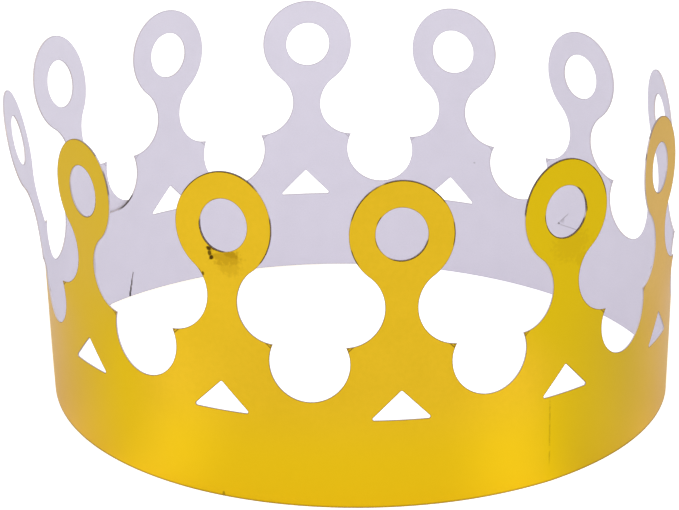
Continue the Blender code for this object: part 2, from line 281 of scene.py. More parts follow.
# The room's soft fill, and the softboxes: name, place, and how bright each makes white paper that faces it
ROOM_FILL = 0.75
SOFTBOX_WIDTH = 0.5
SOFTBOXES = (
    ("left_softbox", (-0.65, -0.35, 0.6), 0.13),
    ("right_softbox", (0.65, -0.35, 0.6), 0.15),
    ("front_softbox", (0.0, -0.6, 0.7), 0.11),
)


def arc(centre, radius, start, end, steps):
    """Points on a circle, from one angle to another, with both ends."""
    angles = (start + (end - start) * step / steps for step in range(steps + 1))
    return [(centre[0] + radius * math.cos(a), centre[1] + radius * math.sin(a)) for a in angles]


def direction(start, end):
    """Angle of the line from one point to another."""
    return math.atan2(end[1] - start[1], end[0] - start[0])


def corner_angle(beside, other, opposite):
    """Angle of a triangle between the sides beside and other, by the law of cosines."""
    return math.acos((beside ** 2 + other ** 2 - opposite ** 2) / (2 * beside * other))


def right_half_outline():
    """Upper edge of half a tile: from the top of the ring, down the neck and shoulder, to the notch floor."""
    to_neck = direction(RING_CENTRE, NECK_CENTRE)
    to_notch = direction(NECK_CENTRE, NOTCH_CENTRE)
    cusp_from_neck = to_notch - corner_angle(NECK_RADIUS, NECK_TO_NOTCH, NOTCH_RADIUS)
    cusp_from_notch = to_notch + math.pi + corner_angle(NOTCH_RADIUS, NECK_TO_NOTCH, NECK_RADIUS)
    ring = arc(RING_CENTRE, RING_RADIUS, math.pi / 2, to_neck, RING_STEPS)
    neck = arc(NECK_CENTRE, NECK_RADIUS, to_neck + math.pi, cusp_from_neck + 2 * math.pi, NECK_STEPS)
    notch = arc(NOTCH_CENTRE, NOTCH_RADIUS, cusp_from_notch, 3 * math.pi / 2, NOTCH_STEPS)
    return ring + neck[1:] + notch[1:]


def top_outline():
    """Upper edge of one tile, from its right side to its left side."""
    right = right_half_outline()
    left = [(-x, z) for x, z in right[1:]]
    return right[::-1] + left


def slit_outline():
    """The slanted slit that runs up from the bottom edge beside the last notch."""
    mouth = HALF_PITCH - SLIT_INSET
    tip = mouth - SLIT_SLANT
    half = SLIT_WIDTH / 2
    return [(mouth + half, 0), (tip + half, SLIT_DEPTH), (tip - half, SLIT_DEPTH), (mouth - half, 0)]


def bottom_outline(with_slit):
    """Lower edge of one tile, from its left side to its right side."""
    return [(-HALF_PITCH, 0)] + (slit_outline()[::-1] if with_slit else []) + [(HALF_PITCH, 0)]


def rounded_polygon(corners, radius, steps):
    """Corners of an anticlockwise polygon, each replaced by a small arc."""
    points = []
    for index, corner in enumerate(corners):
        here = Vector(corner)
        back = (Vector(corners[index - 1]) - here).normalized()
        onward = (Vector(corners[(index + 1) % len(corners)]) - here).normalized()
        half_angle = back.angle(onward) / 2
        centre = here + (back + onward).normalized() * (radius / math.sin(half_angle))
        middle = direction(centre, here)
        spread = math.pi / 2 - half_angle
        points += arc(centre, radius, middle - spread, middle + spread, steps)
    return points


def window_outline():
    """The triangular window, with the small corner radius that the cutting rule leaves."""
    half = WINDOW_WIDTH / 2
    top = WINDOW_BASE_HEIGHT + WINDOW_HEIGHT
    corners = ((-half, WINDOW_BASE_HEIGHT), (half, WINDOW_BASE_HEIGHT), (0, top))
    return rounded_polygon(corners, WINDOW_CORNER_RADIUS, CORNER_STEPS)


def score_outline():
    """The hairline cut along a side and the base of the standing window: a narrow slit bent at its corner."""
    half = WINDOW_WIDTH / 2
    corner = Vector((half, WINDOW_BASE_HEIGHT))
    side = Vector((-half, WINDOW_HEIGHT))
    inwards = Vector((-WINDOW_HEIGHT, -half)).normalized() * SCORE_WIDTH
    side_end = corner + side * SCORE_SIDE_SHARE
    base_end = corner - Vector((WINDOW_WIDTH * SCORE_BASE_SHARE, 0))
    half_angle = math.atan2(WINDOW_HEIGHT, half) / 2
    inner_corner = corner + Vector((-SCORE_WIDTH / math.tan(half_angle), SCORE_WIDTH))
    return [side_end, corner, base_end, base_end + Vector((0, SCORE_WIDTH)), inner_corner, side_end + inwards]


def hole_outline():
    """The round hole of the ring."""
    return arc(RING_CENTRE, HOLE_RADIUS, 0, 2 * math.pi, HOLE_STEPS)[1:]


def tab_outline(length, corner_radius):
    """A plain tab as tall as the notch floor, with its free upper corner rounded."""
    radius = min(corner_radius, length, NOTCH_FLOOR_HEIGHT)
    centre = (length - radius, NOTCH_FLOOR_HEIGHT - radius)
    corner = arc(centre, radius, 0, math.pi / 2, NOTCH_STEPS)
    return [(0, 0), (length, 0), *corner, (0, NOTCH_FLOOR_HEIGHT)]


def cut(bm, place, normal):
    """Cut a flat sheet along a line, so that it can bend there."""
    everything = bm.verts[:] + bm.edges[:] + bm.faces[:]
    bmesh.ops.bisect_plane(bm, geom=everything, dist=WELD_DISTANCE, plane_co=place, plane_no=normal)


def flat_sheet(outlines):
    """Mesh of a flat filled 2D curve, in the XZ plane with its foil side towards -Y, cut into small faces."""
    curve = bpy.data.curves.new("cutting_rule", "CURVE")
    curve.dimensions = "2D"
    curve.fill_mode = "BOTH"
    for outline in outlines:
        spline = curve.splines.new("POLY")
        spline.points.add(len(outline) - 1)
        for point, (x, z) in zip(spline.points, outline):
            point.co = (x, z, 0, 1)
        spline.use_cyclic_u = True
    drawing = bpy.data.objects.new("cutting_rule", curve)
    bpy.context.scene.collection.objects.link(drawing)
    evaluated = drawing.evaluated_get(bpy.context.evaluated_depsgraph_get())
    sheet = bpy.data.meshes.new_from_object(evaluated)
    bpy.data.objects.remove(drawing)

    bm = bmesh.new()
    bm.from_mesh(sheet)
    bmesh.ops.remove_doubles(bm, verts=bm.verts, dist=WELD_DISTANCE)
    bmesh.ops.rotate(bm, verts=bm.verts, cent=(0, 0, 0), matrix=Matrix.Rotation(math.pi / 2, 3, "X"))
    inner_edges = [edge for edge in bm.edges if not edge.is_boundary]
    bmesh.ops.dissolve_limit(bm, angle_limit=math.radians(FLAT_WITHIN_DEGREES), verts=[], edges=inner_edges)
    for column in range(-COLUMNS_PER_PITCH, COLUMNS_PER_PITCH):
        cut(bm, ((column + 0.5) * PITCH / COLUMNS_PER_PITCH, 0, 0), (1, 0, 0))
    for row in range(1, math.ceil(STRIP_HEIGHT / ROW_HEIGHT)):
        cut(bm, (0, 0, row * ROW_HEIGHT), (0, 0, 1))
    bmesh.ops.reverse_faces(bm, faces=[face for face in bm.faces if face.normal.y > 0])
    bm.to_mesh(sheet)
    bm.free()
    return sheet


def add_sheet(bm, sheet, along, mirror=False):
    """Add a flat sheet to the strip, moved along it and turned end for end if asked."""
    first_vert = len(bm.verts)
    first_face = len(bm.faces)
    bm.from_mesh(sheet)
    bm.verts.ensure_lookup_table()
    bm.faces.ensure_lookup_table()
    new_verts = bm.verts[first_vert:]
    if mirror:
        bmesh.ops.scale(bm, verts=new_verts, vec=(-1, 1, 1))
        bmesh.ops.reverse_faces(bm, faces=bm.faces[first_face:])
    bmesh.ops.translate(bm, verts=new_verts, vec=(along, 0, 0))


def flat_strip():
    """The whole die-cut strip as a closed flat solid about the XZ plane, foil side towards -Y."""
    plain_edge = top_outline() + bottom_outline(with_slit=False)
    slit_edge = top_outline() + bottom_outline(with_slit=True)
    plain_tile = flat_sheet([plain_edge, window_outline(), hole_outline()])
    unpunched_tile = flat_sheet([plain_edge, hole_outline(), score_outline()])
    slit_tile = flat_sheet([slit_edge, window_outline(), hole_outline()])
    inner_tab = flat_sheet([tab_outline(INNER_TAB_LENGTH, INNER_TAB_CORNER_RADIUS)])
    outer_tab = flat_sheet([tab_outline(OUTER_TAB_LENGTH, OUTER_TAB_CORNER_RADIUS)])

    bm = bmesh.new()
    add_sheet(bm, outer_tab, STRIP_START, mirror=True)
    for index in range(POINT_COUNT - 1):
        tile = unpunched_tile if index == UNPUNCHED_WINDOW_INDEX else plain_tile
        add_sheet(bm, tile, STRIP_START + (index + 0.5) * PITCH)
    add_sheet(bm, slit_tile, STRIP_END - HALF_PITCH)
    add_sheet(bm, inner_tab, STRIP_END)
    bmesh.ops.remove_doubles(bm, verts=bm.verts, dist=WELD_DISTANCE)
    bmesh.ops.triangulate(bm, faces=[face for face in bm.faces if len(face.verts) > MOST_CORNERS])
    between_cuts = [face for face in bm.faces if all(vert.is_boundary for vert in face.verts)]
    bmesh.ops.poke(bm, faces=[face for face in between_cuts if face.calc_area() > SMALLEST_POKED ** 2])
    bmesh.ops.solidify(bm, geom=bm.faces[:], thickness=CARD_THICKNESS)
    bmesh.ops.translate(bm, verts=bm.verts, vec=(0, -CARD_THICKNESS / 2, 0))
    return bm


def waves(angles, terms):
    """Sum of the waves round the ring at some angles."""
    return sum(cosine * np.cos(count * angles) + sine * np.sin(count * angles)
               for count, cosine, sine in terms)


def wall_path():
    """Distances round the wall's foot, and at each its place, its outward direction and the wall's lean."""
    front = math.radians(FRONT_POINT_DEGREES)
    angles = front + np.linspace(-2 * math.pi, 2 * math.pi, 2 * PATH_STEPS_PER_TURN + 1)
    radii = 1 + waves(angles, OUT_OF_ROUND_SHARES)
    places = np.stack((radii * np.cos(angles), radii * np.sin(angles)), axis=1)
    steps = np.linalg.norm(np.diff(places, axis=0), axis=1)
    distances = np.concatenate(([0], np.cumsum(steps)))
    size = (STRIP_END - STRIP_START - LAP) / distances[PATH_STEPS_PER_TURN]
    tangents = np.gradient(places, axis=0)
    tangents /= np.linalg.norm(tangents, axis=1)[:, None]
    leans = np.radians(MEAN_LEAN_DEGREES + waves(angles, LEAN_WAVES_DEGREES))
    columns = (*(places * size).T, tangents[:, 1], -tangents[:, 0], leans)
    return (distances - distances[PATH_STEPS_PER_TURN]) * size, columns


def eased(share):
    """Smooth step from 0 to 1."""
    share = np.clip(share, 0, 1)
    return share * share * (3 - 2 * share)


def end_rise(run):
    """How far the bottom edge has risen at a distance along the strip, and how steeply."""
    inner_share = np.maximum(run - (STRIP_END - END_RISE_RUN), 0) / END_RISE_RUN
    outer_share = np.maximum(STRIP_START + END_RISE_RUN - run, 0) / END_RISE_RUN
    rise = INNER_END_RISE * inner_share ** 2 + OUTER_END_RISE * outer_share ** 2
    slope = 2 * (INNER_END_RISE * inner_share - OUTER_END_RISE * outer_share) / END_RISE_RUN
    return rise, slope


def ply_shift(run):
    """How far a ply stands out from the middle of the lap: the inner end inwards, the outer end outwards."""
    shift = (CARD_THICKNESS + PLY_GAP) / 2
    inner = eased((run - (STRIP_END - LAP - OUTER_TAB_LENGTH)) / PLY_EASING + 1)
    outer = eased((STRIP_START + LAP + INNER_TAB_LENGTH - run) / PLY_EASING + 1)
    return shift * (outer - inner)


def head_bend(run, up):
    """Where the points' own shape brings places of the card: their new runs, and how far out.

    Each point is flat above its neck, and is also turned and bent a little there.
    """
    index = np.clip(np.floor((run - STRIP_START) / PITCH), 0, POINT_COUNT - 1).astype(int)
    axis = STRIP_START + (index + 0.5) * PITCH
    neck_length = NECK_CENTRE.y - NOTCH_CENTRE.y
    neck_share = np.clip((up - NOTCH_CENTRE.y) / neck_length, 0, 1)
    above_neck = np.maximum(up - NECK_CENTRE.y, 0)
    turn = np.radians(HEAD_TURNS_DEGREES)[index] * eased(neck_share)
    bend = np.tan(np.radians(HEAD_BENDS_DEGREES))[index] * (above_neck + neck_length * neck_share ** 2 / 2)
    beside = (run - axis) * np.cos(turn)
    flatness = eased((up - NOTCH_FLOOR_HEIGHT) / (NECK_CENTRE.y - NOTCH_FLOOR_HEIGHT))
    roll_radius = (STRIP_END - STRIP_START - LAP) / (2 * math.pi)
    unrolled = flatness * (np.hypot(roll_radius, beside) - roll_radius)
    drawn_in = flatness * (beside - roll_radius * np.arctan(beside / roll_radius))
    return axis + beside - drawn_in, (run - axis) * np.sin(turn) + bend + unrolled


def rolled(flat):
    """Places on the wall of the flat strip's points, each given by its run, inward side and height."""
    run, inward, up = flat.T
    run, bend = head_bend(run, up)
    distances, columns = wall_path()
    rise, slope = end_rise(run)
    x, y, out_x, out_y, lean = (np.interp(run - up * slope, distances, column) for column in columns)
    height = rise + up * np.cos(lean)
    curl = TIP_CURL * (height / STRIP_HEIGHT) ** 2
    below_top = eased((CREASE_TOP + CREASE_REACH / 2 - up) / CREASE_REACH)
    crease = CREASE_DEPTH * np.exp(-abs(run - CREASE_RUN) / CREASE_REACH) * below_top
    offset = ply_shift(run) + bend + crease - inward + height * np.tan(lean) - curl
    places = np.stack((x + out_x * offset, y + out_y * offset, height), axis=1)
    middle = (places.min(axis=0) + places.max(axis=0)) / 2
    return places - (middle[0], middle[1], 0)


def distance_to_path(points, path):
    """Distance of each point of the flat card from a path of straight steps."""
    path = np.array(path)
    start, step = path[:-1], np.diff(path, axis=0)
    from_start = points[:, None, :] - start
    share = np.clip((from_start * step).sum(axis=2) / (step ** 2).sum(axis=1), 0, 1)
    return np.linalg.norm(from_start - share[:, :, None] * step, axis=2).min(axis=1)


def distance_from_cut(run, up):
    """How far each point of the flat card lies from the nearest cut edge."""
    index = np.clip(np.floor((run - STRIP_START) / PITCH), 0, POINT_COUNT - 1)
    points = np.stack((run - STRIP_START - (index + 0.5) * PITCH, up), axis=1)
    window, hole = window_outline(), hole_outline()
    paths = [top_outline(), bottom_outline(with_slit=False), window + window[:1], hole + hole[:1]]
    nearest = np.concatenate([
        np.min([distance_to_path(part, path) for path in paths], axis=0)
        for part in np.array_split(points, math.ceil(len(points) / POINTS_AT_ONCE))
    ])
    ends = np.minimum(STRIP_END + INNER_TAB_LENGTH - run, run - (STRIP_START - OUTER_TAB_LENGTH))
    on_tab = (run > STRIP_END) | (run < STRIP_START)
    tab_nearest = np.minimum(np.minimum(up, NOTCH_FLOOR_HEIGHT - up), ends)
    return np.where(on_tab, tab_nearest, nearest)


def linear(colour):
    """A screen colour as the light it stands for, by the sRGB curve."""
    shares = (channel / 255 for channel in colour)
    return (*((s / 12.92 if s <= 0.04045 else ((s + 0.055) / 1.055) ** 2.4) for s in shares), 1)


def add_node(tree, kind, **settings):
    """Add a shader node. A setting is a property, an input by its name, or an input by its place, as I0."""
    node = tree.nodes.new(kind)
    sockets = {}
    for name, value in settings.items():
        if hasattr(node, name) and not name[0].isupper():
            setattr(node, name, value)
        else:
            sockets[name.replace("_", " ")] = value
    for name, value in sockets.items():
        socket = node.inputs[int(name[1:])] if name[0] == "I" and name[1:].isdigit() else node.inputs[name]
        if isinstance(value, bpy.types.NodeSocket):
            tree.links.new(value, socket)
        else:
            socket.default_value = value
    return node


def maths(tree, operation, first, second=0.0):
    """A Math node's result."""
    return add_node(tree, "ShaderNodeMath", operation=operation, I0=first, I1=second).outputs[0]


def multiply_add(tree, value, factor, added):
    """A value times a factor, plus another."""
    node = add_node(tree, "ShaderNodeMath", operation="MULTIPLY_ADD", I0=value, I1=factor, I2=added)
    return node.outputs[0]


def vector_maths(tree, operation, *vectors):
    """A Vector Math node."""
    inputs = {f"I{index}": vector for index, vector in enumerate(vectors)}
    return add_node(tree, "ShaderNodeVectorMath", operation=operation, **inputs)


def ramp(tree, value, low, high):
    """A value's smooth step from 0 at low to 1 at high."""
    node = add_node(tree, "ShaderNodeMapRange", interpolation_type="SMOOTHSTEP", Value=value, From_Min=low,
                    From_Max=high)
    return node.outputs[0]


def mixed(tree, share, first, second):
    """A colour between two colours, from the colour sockets of a Mix node."""
    node = tree.nodes.new("ShaderNodeMix")
    node.data_type = "RGBA"
    for socket, value in zip((node.inputs[0], node.inputs[6], node.inputs[7]), (share, first, second)):
        if isinstance(value, bpy.types.NodeSocket):
            tree.links.new(value, socket)
        else:
            socket.default_value = value
    return node.outputs[2]


def new_material(name):
    """A material with a Principled shader, and its node tree."""
    material = bpy.data.materials.new(name)
    material.use_nodes = True
    return material, material.node_tree, material.node_tree.nodes["Principled BSDF"]


def new_group(name, inputs, output):
    """An empty shader node group: its tree, its inputs by name, and a function that sets its one output."""
    tree = bpy.data.node_groups.new(name, "ShaderNodeTree")
    for label, kind in inputs:
        tree.interface.new_socket(label, in_out="INPUT", socket_type=kind)
    tree.interface.new_socket(output[0], in_out="OUTPUT", socket_type=output[1])
    given = tree.nodes.new("NodeGroupInput").outputs
    result = tree.nodes.new("NodeGroupOutput").inputs[0]
    return tree, given, lambda socket: tree.links.new(socket, result)


def use_group(tree, group, **settings):
    """The output of a node group used in a material."""
    node = tree.nodes.new("ShaderNodeGroup")
    node.node_tree = group
    for name, value in settings.items():
        socket = node.inputs[name.replace("_", " ")]
        if isinstance(value, bpy.types.NodeSocket):
            tree.links.new(value, socket)
        else:
            socket.default_value = value
    return node.outputs[0]


def card_grain_group():
    """The card's fine grain with slower unevenness under it, as a value about one half."""
    inputs = (("Layout", "NodeSocketVector"), ("Grain Size", "NodeSocketFloat"),
              ("Patch Size", "NodeSocketFloat"), ("Patch Share", "NodeSocketFloat"))
    tree, given, finish = new_group("card_grain", inputs, ("Grain", "NodeSocketFloat"))
    grain, patches = (
        add_node(tree, "ShaderNodeTexNoise", Vector=given["Layout"], Detail=detail,
                 Scale=maths(tree, "DIVIDE", 1.0, given[size])).outputs["Fac"]
        for size, detail in (("Grain Size", GRAIN_DETAIL), ("Patch Size", PATCH_DETAIL))
    )
    finish(add_node(tree, "ShaderNodeMix", I0=given["Patch Share"], I2=grain, I3=patches).outputs[0])
    return tree


def ragged_spot_group():
    """A ragged spot on the flat card: 1 in its middle, fading to 0 at its edge."""
    inputs = (("Layout", "NodeSocketVector"), ("Centre", "NodeSocketVector"),
              ("Half Size", "NodeSocketVector"), ("Raggedness", "NodeSocketFloat"),
              ("Strength", "NodeSocketFloat"))
    tree, given, finish = new_group("ragged_spot", inputs, ("Mask", "NodeSocketFloat"))
    from_centre = vector_maths(tree, "SUBTRACT", given["Layout"], given["Centre"])
    in_half_sizes = vector_maths(tree, "DIVIDE", from_centre.outputs[0], given["Half Size"])
    distance = vector_maths(tree, "LENGTH", in_half_sizes.outputs[0]).outputs["Value"]
    noise = add_node(tree, "ShaderNodeTexNoise", Vector=given["Layout"], Scale=1 / SPOT_GRAIN,
                     Detail=SPOT_DETAIL)
    off_middle = maths(tree, "SUBTRACT", noise.outputs["Fac"], NOISE_MIDDLE)
    push = maths(tree, "MULTIPLY", off_middle, given["Raggedness"])
    mask = ramp(tree, maths(tree, "ADD", distance, push), *MARK_FADING)
    finish(maths(tree, "MULTIPLY", mask, given["Strength"]))
    return tree


def spots(tree, layout, group, marks, raggedness):
    """All the spots of a list as one mask."""
    mask = 0.0
    for centre, half_size, strength in marks:
        spot = use_group(tree, group, Layout=layout, Centre=(*centre, 0), Half_Size=(*half_size, 1),
                         Raggedness=raggedness, Strength=strength)
        mask = maths(tree, "MAXIMUM", spot, mask)
    return mask


def crease_shade_line(tree, layout, grain_group):
    """The broken line of painted shade along the fold."""
    run, up, _ = add_node(tree, "ShaderNodeSeparateXYZ", I0=layout).outputs
    beside = maths(tree, "ABSOLUTE", maths(tree, "SUBTRACT", run, CREASE_RUN))
    line = ramp(tree, beside, CREASE_LINE_WIDTH, 0.0)
    length = maths(tree, "MULTIPLY", ramp(tree, up, *CREASE_LINE_UPPER_END),
                   ramp(tree, up, *CREASE_LINE_LOWER_END))
    dashes = use_group(tree, grain_group, Layout=layout, **CREASE_GRAIN)
    dashes = ramp(tree, dashes, *CREASE_DASH_RANGE)
    return maths(tree, "MULTIPLY", maths(tree, "MULTIPLY", line, length), dashes)


def on_front_heads(tree, run, up):
    """1 on the heads of the front points, less on those further round, and 0 lower down."""
    near_front = ramp(tree, maths(tree, "ABSOLUTE", run), *FRONT_HEAD_RUNS)
    return maths(tree, "MULTIPLY", near_front, ramp(tree, up, *FRONT_HEAD_HEIGHTS))


def upward_rim_shade(tree, layout, run, up, grain_group):
    """Painted shade on a head's cut edges: broken stretches of the rims that face upwards."""
    in_tile = maths(tree, "FLOORED_MODULO", maths(tree, "ADD", run, HALF_PITCH), PITCH)
    beside = maths(tree, "SUBTRACT", in_tile, HALF_PITCH)
    above = maths(tree, "SUBTRACT", up, RING_CENTRE.y)
    squares = (maths(tree, "POWER", distance, 2.0) for distance in (beside, above))
    from_centre = maths(tree, "SQRT", maths(tree, "ADD", *squares))
    outwards = maths(tree, "SIGN", maths(tree, "SUBTRACT", from_centre, (RING_RADIUS + HOLE_RADIUS) / 2))
    facing_up = maths(tree, "MULTIPLY", maths(tree, "DIVIDE", above, from_centre), outwards)
    patches = use_group(tree, grain_group, Layout=layout, **RIM_SHADE_GRAIN)
    return ramp(tree, multiply_add(tree, facing_up, RIM_SHADE_WHERE_FACING_UP, patches), *RIM_SHADE_RANGE)


def gold_with_painted_reflections(tree, uneven, run, up):
    """The foil's uneven colour, with painted reflections that change its tone slowly round the crown and
    towards its foot.
    """
    colour = mixed(tree, ramp(tree, uneven, *NOISE_RANGE), linear(GOLD), linear(DULL_GOLD))
    # Painted reflections: yellower near the foot, greener at the sides, olive beyond the crease, where the foil
    # mirrors the shaded table and darker surroundings
    low_down = ramp(tree, up, *LOW_GOLD_HEIGHTS)
    colour = mixed(tree, low_down, colour, linear(FOOT_REFLECTION_GOLD))
    beyond_crease = maths(tree, "MULTIPLY", low_down, ramp(tree, run, *GREEN_RIGHT_RUNS))
    green = maths(tree, "MAXIMUM", beyond_crease, ramp(tree, run, *GREEN_LEFT_RUNS))
    colour = mixed(tree, green, colour, linear(GREEN_REFLECTION_GOLD))
    on_points = ramp(tree, up, NOTCH_FLOOR_HEIGHT, NECK_CENTRE.y)
    olive_run = maths(tree, "ADD", run, maths(tree, "MULTIPLY", on_points, OLIVE_SHIFT_ON_POINTS))
    faded = maths(tree, "MULTIPLY", ramp(tree, run, *OLIVE_FADING_RUNS), OLIVE_FADING)
    kept = maths(tree, "SUBTRACT", 1.0, faded)
    olive = maths(tree, "MULTIPLY", ramp(tree, olive_run, *OLIVE_GOLD_RUNS), kept)
    return mixed(tree, olive, colour, linear(OLIVE_REFLECTION_GOLD))


def gold_foil(grain_group, spot_group):
    """Satin gold foil: faintly uneven, scuffed and smudged in places, with painted shade along its cut edges,
    its foot and its crease, and on the upward-facing rims of the front heads.
    """
    material, tree, shader = new_material("gold_foil")
    layout = add_node(tree, "ShaderNodeUVMap", uv_map="die_cut").outputs[0]
    run, up, _ = add_node(tree, "ShaderNodeSeparateXYZ", I0=layout).outputs
    from_cut = add_node(tree, "ShaderNodeAttribute", attribute_name="from_cut").outputs["Fac"]
    uneven = use_group(tree, grain_group, Layout=layout, **FOIL_UNEVENNESS)
    fine = use_group(tree, grain_group, Layout=layout, **FOIL_FINE_GRAIN)

    colour = gold_with_painted_reflections(tree, uneven, run, up)
    smudge = spots(tree, layout, spot_group, SMUDGES, SMUDGE_RAGGEDNESS)
    colour = mixed(tree, smudge, colour, linear(SMUDGE))
    # Dark spots of wear, with a broken line of painted shade along the crease
    dirt_and_crease_shade = maths(tree, "MAXIMUM", spots(tree, layout, spot_group, DIRT_SPOTS, DIRT_RAGGEDNESS),
                 maths(tree, "MULTIPLY", crease_shade_line(tree, layout, grain_group), CREASE_LINE_STRENGTH))
    colour = mixed(tree, dirt_and_crease_shade, colour, linear(DIRT_AND_CREASE_SHADE))
    # Painted shade: a dark line along the cut edges and along the foot
    edge_shade_width = multiply_add(tree, fine, EDGE_SHADE_WIDTH_SPREAD, EDGE_SHADE_WIDTH)
    edge_shade = ramp(tree, maths(tree, "DIVIDE", from_cut, edge_shade_width), *MARK_FADING)
    foot_shade = maths(tree, "MULTIPLY", ramp(tree, up, *FOOT_SHADE_HEIGHTS), FOOT_SHADE_STRENGTH)
    colour = mixed(tree, maths(tree, "MAXIMUM", edge_shade, foot_shade), colour, linear(EDGE_SHADE_GOLD))
    front_heads = on_front_heads(tree, run, up)
    # Painted shade: a broken brown line on the rims that face upwards
    brown = maths(tree, "MULTIPLY", front_heads, upward_rim_shade(tree, layout, run, up, grain_group))
    brown = maths(tree, "MULTIPLY", brown, ramp(tree, from_cut, *RIM_SHADE_WIDTHS))
    colour = mixed(tree, brown, colour, linear(RIM_SHADE_BROWN))
    bare = maths(tree, "MULTIPLY", front_heads, ramp(tree, from_cut, *BARE_RIM_WIDTHS))
    colour = mixed(tree, bare, colour, linear(BARE_EDGE))
    tree.links.new(colour, shader.inputs["Base Color"])
    tree.links.new(maths(tree, "SUBTRACT", 1.0, bare), shader.inputs["Metallic"])

    rough = add_node(tree, "ShaderNodeMapRange", Value=uneven,
                     From_Min=NOISE_RANGE[0], From_Max=NOISE_RANGE[1],
                     To_Min=FOIL_ROUGHNESS[0], To_Max=FOIL_ROUGHNESS[1]).outputs[0]
    worn_and_creased = maths(tree, "MAXIMUM", smudge, dirt_and_crease_shade)
    tree.links.new(multiply_add(tree, worn_and_creased, WORN_ROUGHNESS, rough), shader.inputs["Roughness"])
    waves_bump = add_node(tree, "ShaderNodeBump", Strength=FOIL_BUMP_STRENGTH, Distance=FOIL_WAVE_DEPTH,
                          Height=uneven)
    fine_bump = add_node(tree, "ShaderNodeBump", Strength=FOIL_BUMP_STRENGTH, Distance=FINE_GRAIN_DEPTH,
                         Height=fine, Normal=waves_bump.outputs[0])
    tree.links.new(fine_bump.outputs[0], shader.inputs["Normal"])
    shader.inputs["Specular Tint"].default_value = FOIL_EDGE_TINT
    shader.inputs["Anisotropic"].default_value = FOIL_STRETCH
    shader.inputs["Anisotropic Rotation"].default_value = FOIL_STRETCH_TURN
    return material


def white_card(grain_group, spot_group):
    """White card, a little cool: a fine fibre grain, a greyer line of painted shade along its cut edges, some
    soil, and painted shadow in the slit and along the last notch's edge.
    """
    material, tree, shader = new_material("white_card")
    layout = add_node(tree, "ShaderNodeUVMap", uv_map="die_cut").outputs[0]
    from_cut = add_node(tree, "ShaderNodeAttribute", attribute_name="from_cut").outputs["Fac"]
    grain = use_group(tree, grain_group, Layout=layout, **CARD_GRAIN)
    colour = mixed(tree, ramp(tree, grain, *CARD_TONE_RANGE), linear(CARD_WHITE), linear(CARD_SHADE))
    # Painted shade: a greyer line along the cut edges
    colour = mixed(tree, ramp(tree, from_cut, *CARD_EDGE_SHADE_WIDTHS), colour, linear(CARD_EDGE_SHADE))
    # Painted shadow along the last notch's edge and in the slit, with the other spots
    soil_and_shadow = maths(tree, "MULTIPLY", ramp(tree, from_cut, *NOTCH_EDGE_SHADOW_WIDTHS),
                   spots(tree, layout, spot_group, (NOTCH_EDGE_SHADOW,), NOTCH_EDGE_SHADOW_RAGGEDNESS))
    soil_and_shadow = maths(tree, "MAXIMUM", soil_and_shadow, spots(tree, layout, spot_group, CARD_SPOTS_AND_SLIT_SHADOW, CARD_SPOT_RAGGEDNESS))
    colour = mixed(tree, soil_and_shadow, colour, linear(CARD_DIRT_AND_SHADOW))
    tree.links.new(colour, shader.inputs["Base Color"])
    bump = add_node(tree, "ShaderNodeBump", Strength=CARD_BUMP_STRENGTH, Distance=FINE_GRAIN_DEPTH,
                    Height=grain)
    tree.links.new(bump.outputs[0], shader.inputs["Normal"])
    shader.inputs["Roughness"].default_value = CARD_ROUGHNESS
    shader.inputs["Specular IOR Level"].default_value = CARD_SPECULAR
    return material


def cut_edge(grain_group, spot_group):
    """The card's core, where the die cut it: pale fibres, with painted shade on the upward-facing rims of the
    heads at the front.
    """
    material, tree, shader = new_material("cut_edge")
    layout = add_node(tree, "ShaderNodeUVMap", uv_map="die_cut").outputs[0]
    run, up, _ = add_node(tree, "ShaderNodeSeparateXYZ", I0=layout).outputs
    grain = use_group(tree, grain_group, Layout=layout, **EDGE_GRAIN)
    colour = mixed(tree, ramp(tree, grain, *NOISE_RANGE), linear(BARE_EDGE), linear(CARD_EDGE_SHADE))
    # Painted shade on the upward-facing rims of the front heads
    shaded_rim = maths(tree, "MULTIPLY", on_front_heads(tree, run, up),
                    upward_rim_shade(tree, layout, run, up, grain_group))
    colour = mixed(tree, shaded_rim, colour, linear(RIM_SHADE_BROWN))
    # Spots, with painted shadow in the slit and along the last notch's edge
    soil_and_shadow = spots(tree, layout, spot_group, (*CARD_SPOTS_AND_SLIT_SHADOW, NOTCH_EDGE_SHADOW), CARD_SPOT_RAGGEDNESS)
    colour = mixed(tree, soil_and_shadow, colour, linear(CARD_DIRT_AND_SHADOW))
    tree.links.new(colour, shader.inputs["Base Color"])
    shader.inputs["Roughness"].default_value = CUT_EDGE_ROUGHNESS
    shader.inputs["Specular IOR Level"].default_value = CUT_EDGE_SPECULAR
    return material


